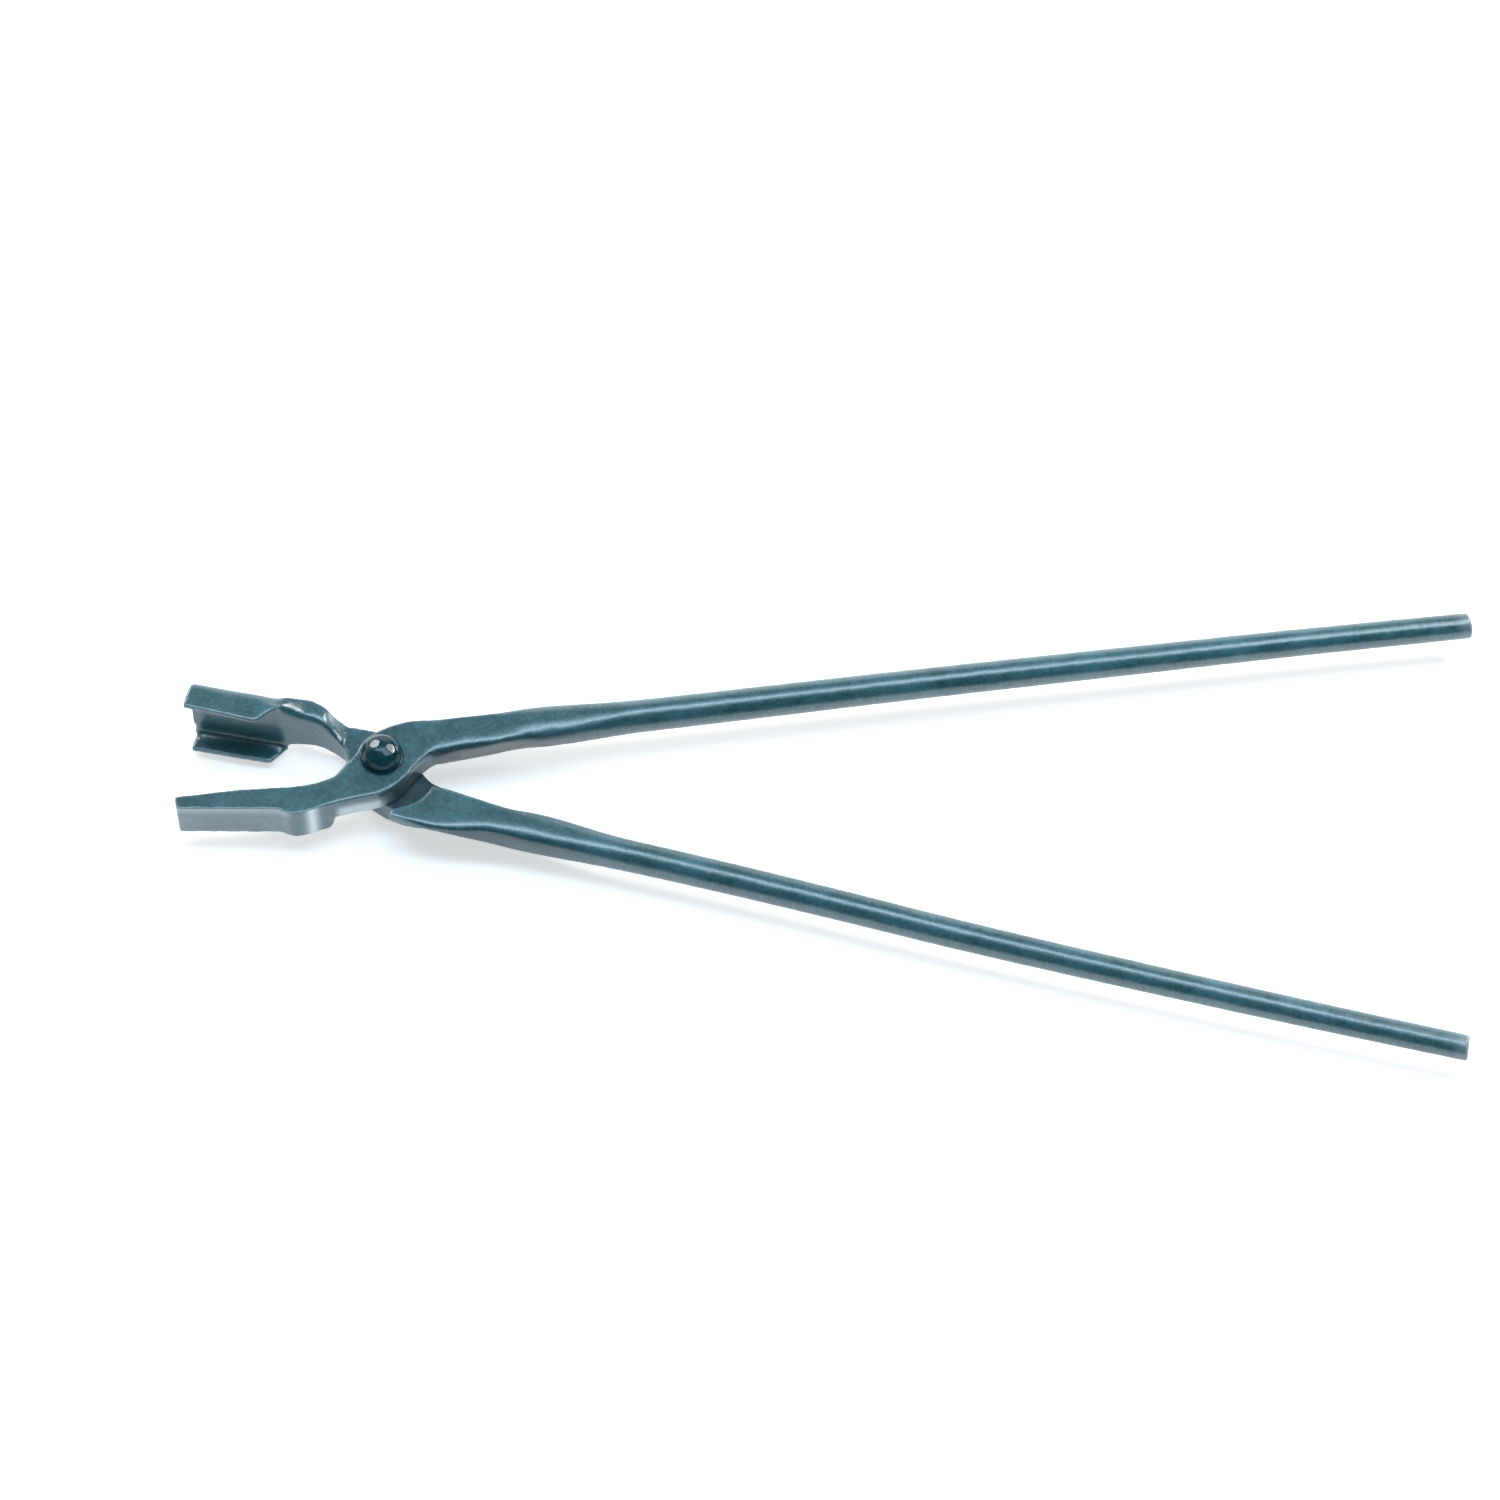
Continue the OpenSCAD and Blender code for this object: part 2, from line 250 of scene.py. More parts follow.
def bend_at(d, bends):
    """Offset at each distance d on a smooth run through the bends."""
    knots = np.array(bends) * MM
    x, y = knots[:, 0], knots[:, 1]
    slopes = np.gradient(y, x)
    i = np.clip(np.searchsorted(x, d) - 1, 0, len(x) - 2)
    span = x[i + 1] - x[i]
    t = np.clip((d - x[i]) / span, 0.0, 1.0)
    return (
        y[i] * (1 + 2 * t) * (1 - t) ** 2 + y[i + 1] * t * t * (3 - 2 * t)
        + span * (slopes[i] * t * (1 - t) ** 2 - slopes[i + 1] * t * t * (1 - t))
    )


class Rein:
    """Places along and across one rein. side is 1 for the rein on +Y and -1 for the one on -Y."""

    def __init__(self, form, side):
        self.form, self.side = form, side
        spread = form.rein_spread
        self.along = np.array([math.cos(spread), side * math.sin(spread), 0.0])
        self.across = np.array([-math.sin(spread), side * math.cos(spread), 0.0])
        self.level = LAP_LEVEL + side * form.rein_rise

    def places(self, at):
        """Distance along the rein, distance across it and height towards the foot of its shoulder."""
        return at @ self.along, at @ self.across, -self.side * (at[:, 2] - self.level)

    def point(self, d, w, h):
        flat = d[:, None] * self.along + w[:, None] * self.across
        flat[:, 2] = self.level - self.side * h
        return flat

    def drawn(self, at, facing, bends):
        """Points of the rein drawn out from the flattened shoulder to the round, tapered bar."""
        form = self.form
        d, w, h = self.places(at)
        start, end = form.flat_from, form.round_from
        along = np.clip((d - start) / (form.rein_length - start), 0.0, 1.0)
        slim = form.box_rein_slim if self.side < 0 else 1.0
        radius = 0.5 * slim * mix(form.rein_root_d, form.rein_end_d, along)
        half_h = radius + form.shoulder_swell * (1.0 - smooth(d, start, start + 48 * MM))
        half_w = mix(form.shoulder_half_w, radius, smooth(d, start + 18 * MM, end - 8 * MM))
        middle = form.rein_offset - form.shoulder_in * (1.0 - smooth(d, start + 16 * MM, end))
        lean = form.shoulder_lean * (1.0 - smooth(d, start + 4 * MM, end - 10 * MM))
        roundness = np.clip(mix(0.55, 1.0, (d - start - 8 * MM) / (end - start - 8 * MM)), 0.55, 1.0)
        corner = 2.0 / roundness
        x = (w - middle - lean * h) / half_w
        y = h / half_h
        reach = np.maximum((np.abs(x) ** corner + np.abs(y) ** corner) ** (1.0 / corner), 0.2)
        new_h = y / reach * half_h
        new_w = middle + lean * new_h + x / reach * half_w
        side_face = smooth(1.0 - np.abs(facing @ self.along), 0.2, 0.5)
        pull = smooth(d, start, start + 18 * MM) * side_face
        w, h = mix(w, new_w, pull), mix(h, new_h, pull)
        return self.point(d, w + form.bow * bend_at(d, bends), h)

    def swollen(self, at):
        """Points with the inner edge of the lap pressed out over the fork, most on the lap's own side."""
        d, w, h = self.places(at)
        zone = smooth(d, 17 * MM, 26 * MM) * (1.0 - smooth(d, 60 * MM, 98 * MM))
        zone = zone * (1.0 - smooth(w, 3 * MM, 10 * MM)) * np.clip(0.5 - h / (16.4 * MM), 0.0, 1.0)
        return self.point(d, w - self.form.fork_swell * zone, h)

    def sheared(self, at):
        """Points with the end cut a little askew and dished, as a shear leaves it."""
        d, w, h = self.places(at)
        end = smooth(d, self.form.rein_length - 6 * MM, self.form.rein_length)
        askew = 0.10 if self.side > 0 else -0.11
        slant = 6 * MM * abs(askew) + askew * (w - self.form.rein_offset) + 0.05 * (6 * MM + h)
        rough = 0.12 * MM * (1 + waves(at, 2.2 * MM, 5))
        return self.point(d - end * (np.clip(slant, 0, 2 * MM) + rough), w, h)


def flat_half_soft(at, rein):
    """Where the flat-jaw half is rounded by hand, each as a share of the full rounding and its places."""
    top = LAP_LEVEL + 10.25 * MM
    d, w = rein.places(at)[:2]
    high = smooth(at[:, 2], top - 6 * MM, top - 2.5 * MM)
    fork_side = smooth(d, 12 * MM, 24 * MM) * (1 - smooth(d, 60 * MM, 76 * MM)) * (1 - smooth(w, 4.5 * MM, 8.5 * MM))
    round_lap = 1 - smooth(np.hypot(at[:, 0], at[:, 1]), 26 * MM, 34 * MM)
    return (1.0, high * fork_side), (0.1, high * round_lap)


def box_half_soft(at, rein):
    """Where the box half is rounded by hand, each as a share of the full rounding and its places."""
    x, y, z = at.T
    a = math.radians(7.5)
    along, out = -x * math.cos(a) + y * math.sin(a), x * math.sin(a) + y * math.cos(a)
    shoulder_top, box_top, box_low = LAP_LEVEL + 6.2 * MM, LAP_LEVEL + 17 * MM, LAP_LEVEL - 13 * MM
    d, w = rein.places(at)[:2]
    rein_side = smooth(d, 12 * MM, 22 * MM) * (1 - smooth(d, 60 * MM, 76 * MM))
    edge = smooth(z, shoulder_top - 5.5 * MM, shoulder_top - 2 * MM) * rein_side * smooth(w, 7 * MM, 11 * MM)
    edge = edge * mix(0.15, 1.0, smooth(d, 26 * MM, 38 * MM))
    far = np.hypot(x, y)
    pocket = smooth(z, LAP_LEVEL + 2 * MM, LAP_LEVEL + 4 * MM) * rein_side * (1 - smooth(far, 24 * MM, 27 * MM))
    arm = smooth(z, LAP_LEVEL + 0.8 * MM, LAP_LEVEL + 3.5 * MM) * smooth(-x, 15 * MM, 19 * MM)
    arm = arm * (1 - smooth(along, 42 * MM, 52 * MM)) * (1 - 0.9 * smooth(out, 14.5 * MM, 17.5 * MM))
    in_box = smooth(along, 38 * MM, 48 * MM)
    back = smooth(out, 10.5 * MM, 13.5 * MM)
    ridge = in_box * back * smooth(z, box_top - 8 * MM, box_top - 3.5 * MM) * (1 - smooth(along, 66 * MM, 75 * MM))
    corner = np.hypot(out - 11.4 * MM, z - box_low - 2.4 * MM)
    fillet = in_box * (1 - smooth(corner, 2.5 * MM, 5 * MM)) * smooth(z, box_low + 0.8 * MM, box_low + 2 * MM)
    fillet = fillet * (1 - smooth(out, 12.5 * MM, 14 * MM))
    return (1.0, edge), (0.25, pocket), (0.8, arm), (0.4, ridge), (0.6, fillet)


def forged_half(node, name, side, bends, form):
    """One half of the tongs as a forged surface: evenly meshed, relaxed, drawn out and hammered."""
    mesh = remeshed(node, name, form.mesh_step)
    rein = Rein(form, side)
    at, ends = points_of(mesh), edges_of(mesh)
    normals = np.zeros(len(at) * 3)
    mesh.vertices.foreach_get("normal", normals)
    at = rein.swollen(rein.drawn(at, normals.reshape(-1, 3), bends))
    at = relaxed(at, ends, form.edge_steps)
    d = rein.places(at)[0]
    blend_zone = smooth(d, 38 * MM, 48 * MM) * (1.0 - smooth(d, 58 * MM, 70 * MM))
    at = relaxed(at, ends, 14, blend_zone)
    for part, places in (flat_half_soft if side > 0 else box_half_soft)(at, rein):
        at = relaxed(at, ends, round(part * form.soft_edges), places)
    at = rein.sheared(at)
    mesh.vertices.foreach_set("co", at.ravel())
    mesh.update()
    mesh.vertices.foreach_get("normal", normals)
    facing = normals.reshape(-1, 3)
    bulge = sharpness(at, facing, ends, form.mesh_step)
    # Hammer marks only press in, so the surface stays within its solid and clear of the other half
    marks = 0.5 * (1.0 + waves(at, 9 * MM, 11)) * 0.7 + 0.5 * (1.0 + waves(at, 3.5 * MM, 12)) * 0.3
    in_lap = (np.hypot(at[:, 0], at[:, 1]) < 24 * MM) & (np.abs(at[:, 2] - LAP_LEVEL) < 1.5 * MM)
    depth = form.hammer_depth * marks * np.where(in_lap, 0.0, 1.0)
    at = at - facing * depth[:, None]
    mesh.vertices.foreach_set("co", at.ravel())
    # Painted shade: the pocket that the other half's lap turns in, and the edge that turns in it, are darkened and
    # dulled where shade falls
    x, y, z = at.T
    rise = side * (LAP_LEVEL - z)
    near = 1.0 - smooth(np.hypot(x, y), 21.6 * MM, 23.4 * MM)
    pocket = near * (rise > -0.5 * MM) * (1.0 - smooth(rise, 4.2 * MM, 5.4 * MM)) * smooth(x, 0, 5 * MM)
    turning = near * (1.0 - smooth(-rise, 6 * MM, 8.5 * MM)) * smooth(x, 2 * MM, 7 * MM) * (1.0 - smooth(side * y, 0, 5 * MM))
    pocket = np.maximum(pocket, turning * (np.abs(facing[:, 2]) < 0.6))
    # Painted shade also darkens the faces under the shoulders, less and less towards the reins
    under = 0.7 * smooth(d, 14 * MM, 24 * MM) * (1.0 - smooth(d, 55 * MM, 100 * MM))
    pocket = np.maximum(pocket, under * smooth(-facing[:, 1], 0.45, 0.9))
    # Painted highlight and reflection in bare-steel colour on the outer side of the flat-jaw half: a streak on the
    # ridge of its arm, the jaw's side brightening towards its upper edge, and the lap
    sheen_mask = 0.85 * np.exp(-((x + 23.8 * MM) / (2.4 * MM)) ** 2) + smooth(-x, 30 * MM, 34 * MM) * (0.2 + 0.25 * smooth(z, 21.5 * MM, 25.5 * MM))
    sheen_mask = sheen_mask + 0.75 * smooth(x, -17 * MM, -13 * MM) * (1.0 - smooth(x, 0, 8 * MM)) * (1.0 - smooth(z, 20 * MM, 25 * MM))
    sheen_mask = sheen_mask * smooth(-facing[:, 1], 0.5, 0.9) * (side > 0) * (x < 12 * MM)
    end = form.rein_length
    for key, values in (
        ("edge", np.clip((bulge - 0.36) / 0.45, 0.0, 1.0)),
        # This mask is painted shade: tight inner creases, the pivot pocket and the faces under the shoulders
        ("corner", np.maximum(0.3 * np.clip((-bulge - 0.15) / 0.5, 0.0, 1.0), pocket)),
        # This mask holds the painted highlight and reflection on the flat-jaw half's outer side
        ("painted_sheen", np.clip(sheen_mask, 0.0, 1.0)),
        ("end_cut", 0.6 * smooth(d, end - 1.6 * MM, end - 0.7 * MM) + 0.4 * smooth(d, end - 8 * MM, end - 3 * MM)),
    ):
        layer = mesh.attributes.new(key, "FLOAT", "POINT")
        layer.data.foreach_set("value", values.astype(np.float32))
    mesh.polygons.foreach_set("use_smooth", np.ones(len(mesh.polygons), bool))
    mesh.update()
    return shown(name, mesh)


def shown(name, mesh):
    piece = bpy.data.objects.new(name, mesh)
    bpy.context.scene.collection.objects.link(piece)
    return piece


# Rivet

def dome_profile(diameter, height, rim, count=30):
    """Radius and height of a domed head from its rim to its middle."""
    radius = diameter / 2
    centre = (height ** 2 - radius ** 2 - rim ** 2) / (2 * (height - rim))
    ball = math.hypot(radius, rim - centre)
    low = math.atan2(radius, rim - centre)
    return [
        (ball * math.sin(low * (1 - i / count)), centre + ball * math.cos(low * (1 - i / count)))
        for i in range(count + 1)
    ]


def hammered(point, centre, facets, soft):
    """A point pressed in where it stands past one of the flat facets. facets are (direction, distance)."""
    offset = point - centre
    for way, reach in facets:
        past = offset.dot(way) - reach
        if past > -soft:
            press = (past + soft) ** 2 / (4 * soft) if past < soft else past
            offset -= way * press
    return centre + offset


def facet_ring(count, lean_degrees, reach, start):
    """Facets evenly round the head, leaning out from its middle."""
    lean = math.radians(lean_degrees)
    found = []
    for i in range(count):
        angle = start + 2 * math.pi * i / count + 0.35 * math.sin(5.0 * i + start)
        way = Vector((math.sin(lean) * math.cos(angle), math.sin(lean) * math.sin(angle), math.cos(lean)))
        found.append((way, reach * (1 + 0.008 * math.sin(3.0 * i + 2 * start))))
    return found


# Directions and depths of the flats that the last blows left on top of the head
HEAD_FACETS = (
    ((-0.316, 0.054, 0.947), 2.6), ((0.437, -0.15, 0.886), 2.6), ((0.326, -0.30, 0.897), 2.2),
    ((0.10, 0.42, 0.90), 1.0), ((-0.30, -0.50, 0.81), 1.0),
)


def rivet_mesh(form):
    """One turned solid: flat-hammered tail, shank and domed head, with hammered facets on the head."""
    segments = 128
    tail_flat = 3 * MM
    tail_h, rim = 6 * MM, 0.6 * MM
    head_r, tail_r, shank_r = form.head_d / 2, form.tail_d / 2, form.shank_d / 2
    outline = [(0.0, 0.0), (0.5 * tail_flat, 0.0), (tail_flat, 0.02 * MM)]
    tail = [p for p in dome_profile(form.tail_d, tail_h + 0.4 * MM, rim) if p[0] > tail_flat * 1.02]
    outline += [(r, TAIL_BASE - min(z, tail_h)) for r, z in reversed(tail)]
    outline += [(tail_r, TAIL_BASE - 0.15 * MM), (tail_r - 0.15 * MM, TAIL_BASE), (shank_r, TAIL_BASE)]
    outline += [(shank_r, HEAD_BASE), (head_r - 0.25 * MM, HEAD_BASE), (head_r, HEAD_BASE + 0.2 * MM)]
    outline += [(r, HEAD_BASE + z) for r, z in dome_profile(form.head_d, form.head_h, rim)[:-1]]
    outline += [(0.0, HEAD_BASE + form.head_h)]
    made = bmesh.new()
    rings = []
    for r, z in outline:
        if r == 0.0:
            rings.append([made.verts.new((0, 0, z))])
            continue
        rings.append([
            made.verts.new((r * math.cos(2 * math.pi * i / segments), r * math.sin(2 * math.pi * i / segments), z))
            for i in range(segments)
        ])
    for low, high in zip(rings, rings[1:]):
        for i in range(segments):
            j = (i + 1) % segments
            corners = [low[i % len(low)], low[j % len(low)], high[j % len(high)], high[i % len(high)]]
            made.faces.new(list(dict.fromkeys(corners)))
    ball_r = head_r
    head_middle = Vector((0, 0, HEAD_BASE + 0.3 * MM))
    depth = form.facet_depth
    facets = facet_ring(8, 62, ball_r - 0.8 * depth, 0.1)
    facets += [(Vector(way).normalized(), ball_r - part * depth) for way, part in HEAD_FACETS]
    for vert in made.verts:
        if vert.co.z > HEAD_BASE + 0.8 * MM:
            vert.co = hammered(vert.co, head_middle, facets, 0.06 * MM)
    bmesh.ops.recalc_face_normals(made, faces=made.faces)
    mesh = bpy.data.meshes.new("rivet_forged")
    made.to_mesh(mesh)
    made.free()
    for key in ("edge", "corner", "painted_sheen", "end_cut"):
        mesh.attributes.new(key, "FLOAT", "POINT")
    mesh.polygons.foreach_set("use_smooth", np.ones(len(mesh.polygons), bool))
    mesh.update()
    return mesh


# Materials

class Nodes:
    """Short calls for placing and joining the nodes of one tree."""

    def __init__(self, tree):
        self.tree = tree

    def add(self, kind, settings=None, **inputs):
        node = self.tree.nodes.new(kind)
        for key, value in (settings or {}).items():
            setattr(node, key, value)
        for key, value in inputs.items():
            self.put(node, key.replace("_", " "), value)
        return node

    def put(self, node, key, value):
        socket = node.inputs[int(key)] if key.isdigit() else node.inputs[key]
        if isinstance(value, bpy.types.NodeSocket):
            self.tree.links.new(value, socket)
        elif hasattr(socket.default_value, "__len__") and len(socket.default_value) == 4 and len(value) == 3:
            socket.default_value = (*value, 1.0)
        else:
            socket.default_value = value

    def math(self, operation, a, b=0.0, clamp=False):
        node = self.add("ShaderNodeMath", {"operation": operation, "use_clamp": clamp})
        self.put(node, "0", a)
        self.put(node, "1", b)
        return node.outputs[0]

    def ramp(self, value, low, high, to_low=0.0, to_high=1.0):
        node = self.add(
            "ShaderNodeMapRange", {"interpolation_type": "SMOOTHSTEP"},
            From_Min=low, From_Max=high, To_Min=to_low, To_Max=to_high,
        )
        self.put(node, "Value", value)
        return node.outputs["Result"]

    def blend(self, factor, a, b):
        node = self.add("ShaderNodeMix", {"data_type": "RGBA"})
        self.put(node, "0", factor)
        self.put(node, "6", a)
        self.put(node, "7", b)
        return node.outputs[2]

    def cloud(self, where, scale, detail=3.0, roughness=0.5):
        """A noise value about 0.5, with scale in waves per metre."""
        node = self.add("ShaderNodeTexNoise", Scale=scale, Detail=detail, Roughness=roughness)
        self.put(node, "Vector", where)
        return node.outputs["Fac"]


def group(name, inputs, outputs):
    """A new shader node group. inputs and outputs are (name, socket type, default) and (name, socket type)."""
    tree = bpy.data.node_groups.new(name, "ShaderNodeTree")
    for label, kind, default in inputs:
        socket = tree.interface.new_socket(label, in_out="INPUT", socket_type=kind)
        socket.default_value = default
    for label, kind in outputs:
        tree.interface.new_socket(label, in_out="OUTPUT", socket_type=kind)
    nodes = Nodes(tree)
    start = nodes.add("NodeGroupInput")
    end = nodes.add("NodeGroupOutput")
    where = nodes.add("ShaderNodeTexCoord").outputs["Object"]
    return tree, nodes, start, end, where


def forged_relief():
    """Height of the forged skin: broad unevenness, scale marks and fine pits under the lacquer."""
    tree, nodes, start, end, where = group(
        "forged_relief",
        [("Broad", "NodeSocketFloat", 0.5), ("Fine", "NodeSocketFloat", 0.2)],
        [("Height", "NodeSocketFloat")],
    )
    broad = nodes.math("MULTIPLY", nodes.cloud(where, 220, 3.0, 0.55), start.outputs["Broad"])
    fine = nodes.math("MULTIPLY", nodes.cloud(where, 1500, 4.0, 0.65), start.outputs["Fine"])
    nodes.put(end, "Height", nodes.math("ADD", broad, fine))
    return tree


def lacquer_tone():
    """Mottled lacquer colour between a deep and a pale tone."""
    tree, nodes, start, end, where = group(
        "lacquer_tone",
        [
            ("Deep", "NodeSocketColor", (0, 0, 0, 1)),
            ("Pale", "NodeSocketColor", (1, 1, 1, 1)),
            ("Contrast", "NodeSocketFloat", 1.0),
        ],
        [("Color", "NodeSocketColor"), ("Mottle", "NodeSocketFloat")],
    )
    broad = nodes.cloud(where, 55, 4.0, 0.6)
    small = nodes.cloud(where, 700, 3.0, 0.6)
    both = nodes.math("ADD", nodes.math("MULTIPLY", broad, 0.5), nodes.math("MULTIPLY", small, 0.5))
    swing = nodes.math("MULTIPLY", nodes.math("SUBTRACT", both, 0.5), start.outputs["Contrast"])
    mottle = nodes.math("ADD", nodes.math("MULTIPLY", swing, 3.2), 0.5, clamp=True)
    nodes.put(end, "Color", nodes.blend(mottle, start.outputs["Deep"], start.outputs["Pale"]))
    nodes.put(end, "Mottle", mottle)
    return tree


def wear_and_painted_light():
    """Masks of edges worn thin, which also paint a highlight along them, of bare specks on them together with the
    painted sheen, and of painted shade in inner corners.
    """
    tree, nodes, start, end, where = group(
        "wear_and_painted_light",
        [("Wear", "NodeSocketFloat", 0.5)],
        [("Thin", "NodeSocketFloat"), ("Bare", "NodeSocketFloat"), ("Corner", "NodeSocketFloat")],
    )
    edge = nodes.add("ShaderNodeAttribute", {"attribute_name": "edge"}).outputs["Fac"]
    corner = nodes.add("ShaderNodeAttribute", {"attribute_name": "corner"}).outputs["Fac"]
    patch = nodes.cloud(where, 160, 3.0, 0.6)
    # Worn edges, which also paint a pale highlight along the convex edges
    thin = nodes.math("MULTIPLY", edge, nodes.ramp(patch, 0.30, 0.62, 0.25, 1.0))
    thin = nodes.math("MULTIPLY", thin, nodes.math("MULTIPLY", start.outputs["Wear"], 1.6), clamp=True)
    speck = nodes.ramp(nodes.cloud(where, 620, 2.0, 0.5), 0.60, 0.68)
    patches = nodes.ramp(nodes.cloud(where, 48, 1.0, 0.5), 0.56, 0.66)
    bare = nodes.math("MULTIPLY", nodes.math("MULTIPLY", speck, patches), nodes.ramp(edge, 0.2, 0.7))
    nodes.put(end, "Thin", thin)
    # The bare mask also carries the painted sheen of the flat-jaw half's outer side
    painted_sheen = nodes.add("ShaderNodeAttribute", {"attribute_name": "painted_sheen"}).outputs["Fac"]
    nodes.put(end, "Bare", nodes.math("ADD", bare, painted_sheen, clamp=True))
    # This output is painted shade for creases, the pivot pocket and the faces under the shoulders
    nodes.put(end, "Corner", corner)
    return tree


def shared_groups():
    """The node groups, built once."""
    makers = {"forged_relief": forged_relief, "lacquer_tone": lacquer_tone, "wear_and_painted_light": wear_and_painted_light}
    return {name: bpy.data.node_groups.get(name) or make() for name, make in makers.items()}


def placed(nodes, tree, **inputs):
    node = nodes.add("ShaderNodeGroup")
    node.node_tree = tree
    for key, value in inputs.items():
        nodes.put(node, key, value)
    return node


def lacquered_steel(finish):
    """Blue-green lacquer over forged steel: deep and glossy on the flats, thin and pale on the edges, with a painted
    highlight along the edges, a painted sheen on the flat-jaw half's outer side and painted shade in creases, in the
    pivot pocket and under the shoulders.
    """
    material = bpy.data.materials.new("teal_lacquer")
    material.use_nodes = True
    nodes = Nodes(material.node_tree)
    shader = material.node_tree.nodes["Principled BSDF"]
    trees = shared_groups()
    tone = placed(nodes, trees["lacquer_tone"], Deep=finish.lacquer, Pale=finish.lacquer_pale, Contrast=1.3)
    wear = placed(nodes, trees["wear_and_painted_light"], Wear=finish.wear)
    relief = placed(nodes, trees["forged_relief"], Broad=0.8, Fine=0.8)
    cut = nodes.add("ShaderNodeAttribute", {"attribute_name": "end_cut"}).outputs["Fac"]
    # Worn edges turn pale, which also paints a highlight along them
    tint = nodes.blend(wear.outputs["Thin"], tone.outputs["Color"], finish.worn)
    # Painted shade: creases, the pivot pocket and the faces under the shoulders turn near-black teal
    tint = nodes.blend(nodes.math("MULTIPLY", wear.outputs["Corner"], 0.8), tint, (0.002, 0.022, 0.029))
    tint = nodes.blend(nodes.math("MULTIPLY", cut, 0.7), tint, (0.32, 0.37, 0.39))
    # Bare specks and the painted sheen take the bare-steel colour and a metal's reflection
    nodes.put(shader, "Base Color", nodes.blend(wear.outputs["Bare"], tint, finish.steel))
    nodes.put(shader, "Metallic", wear.outputs["Bare"])
    nodes.put(shader, "Roughness", nodes.math("ADD", nodes.math("MULTIPLY", cut, 0.25), 0.28))
    # Painted shade also thins the coat, dimming its reflection there
    shade_dull = nodes.math("MULTIPLY", wear.outputs["Corner"], -0.5)
    nodes.put(shader, "Coat Weight", nodes.math("ADD", shade_dull, 0.5, clamp=True))
    bump = nodes.add("ShaderNodeBump", Strength=0.9, Distance=0.12 * MM)
    nodes.put(bump, "Height", relief.outputs["Height"])
    nodes.put(shader, "Normal", bump.outputs["Normal"])
    shader.inputs["IOR"].default_value = 1.8
    shader.inputs["Coat Roughness"].default_value = 0.24
    shader.inputs["Coat IOR"].default_value = 1.7
    return material


def dark_rivet(finish):
    """Nearly black, glossy lacquer on the hammered rivet."""
    material = bpy.data.materials.new("rivet_lacquer")
    material.use_nodes = True
    nodes = Nodes(material.node_tree)
    shader = material.node_tree.nodes["Principled BSDF"]
    trees = shared_groups()
    pale = tuple(min(1.0, 3.2 * c) for c in finish.rivet_dark)
    tone = placed(nodes, trees["lacquer_tone"], Deep=finish.rivet_dark, Pale=pale, Contrast=1.2)
    relief = placed(nodes, trees["forged_relief"], Broad=1.0, Fine=0.1)
    nodes.put(shader, "Base Color", tone.outputs["Color"])
    shader.inputs["Roughness"].default_value = 0.12
    bump = nodes.add("ShaderNodeBump", Strength=0.15, Distance=0.15 * MM)
    nodes.put(bump, "Height", relief.outputs["Height"])
    nodes.put(shader, "Normal", bump.outputs["Normal"])
    shader.inputs["IOR"].default_value = 1.38
    return material


def pale_floor(studio):
    """Pale floor that keeps the shadow. It glows to the camera, more so far out, where the lamps are weak."""
    material = bpy.data.materials.new("pale_floor")
    material.use_nodes = True
    nodes = Nodes(material.node_tree)
    shader = material.node_tree.nodes["Principled BSDF"]
    nodes.put(shader, "Base Color", tuple(studio.floor))
    shader.inputs["Roughness"].default_value = 1.0
    shader.inputs["Specular IOR Level"].default_value = 0.0
    path = nodes.add("ShaderNodeLightPath")
    mirrored = nodes.math("ADD", path.outputs["Is Glossy Ray"], path.outputs["Is Transmission Ray"], clamp=True)
    away = nodes.add("ShaderNodeVectorMath", {"operation": "LENGTH"})
    nodes.put(away, "0", nodes.add("ShaderNodeNewGeometry").outputs["Position"])
    glow = nodes.ramp(away.outputs["Value"], 1.0, 3.0, 0.53, 1.0)
    direct = nodes.math("MULTIPLY", path.outputs["Is Camera Ray"], glow)
    nodes.put(shader, "Emission Color", (1.0, 1.0, 1.0))
    nodes.put(shader, "Emission Strength", nodes.math("ADD", direct, nodes.math("MULTIPLY", mirrored, 0.38)))
    return material


# Stage

def camera_axes(studio):
    """The camera's right, up and backward directions."""
    e, az, roll = studio.elevation, studio.azimuth, studio.roll
    back = Vector((math.sin(az) * math.cos(e), -math.cos(az) * math.cos(e), math.sin(e)))
    right = Vector((math.cos(az), math.sin(az), 0.0))
    up = back.cross(right)
    turned_right = math.cos(roll) * right + math.sin(roll) * up
    turned_up = -math.sin(roll) * right + math.cos(roll) * up
    return turned_right, turned_up, back


def add_camera(studio):
    right, up, back = camera_axes(studio)
    target = Vector((studio.look_x, studio.look_y, LAP_LEVEL))
    place = target + studio.distance * back
    data = bpy.data.cameras.new("camera")
    data.lens = studio.lens
    data.sensor_width = 36.0
    data.clip_start, data.clip_end = 0.05, 60.0
    camera = bpy.data.objects.new("camera", data)
    camera.matrix_world = Matrix((
        (right.x, up.x, back.x, place.x),
        (right.y, up.y, back.y, place.y),
        (right.z, up.z, back.z, place.z),
        (0, 0, 0, 1),
    ))
    bpy.context.scene.collection.objects.link(camera)
    bpy.context.scene.camera = camera
    return camera


def add_lamp(name, place, target, size, power, glossy=True):
    """A rectangular lamp of size (wide, high) that faces target."""
    data = bpy.data.lights.new(name, "AREA")
    data.shape = "RECTANGLE"
    data.size, data.size_y = size
    data.energy = power
    lamp = bpy.data.objects.new(name, data)
    lamp.location = place
    way = Vector(target) - Vector(place)
    lamp.rotation_euler = way.to_track_quat("-Z", "Y").to_euler()
    lamp.visible_camera = False
    lamp.visible_glossy = glossy
    bpy.context.scene.collection.objects.link(lamp)
    return lamp


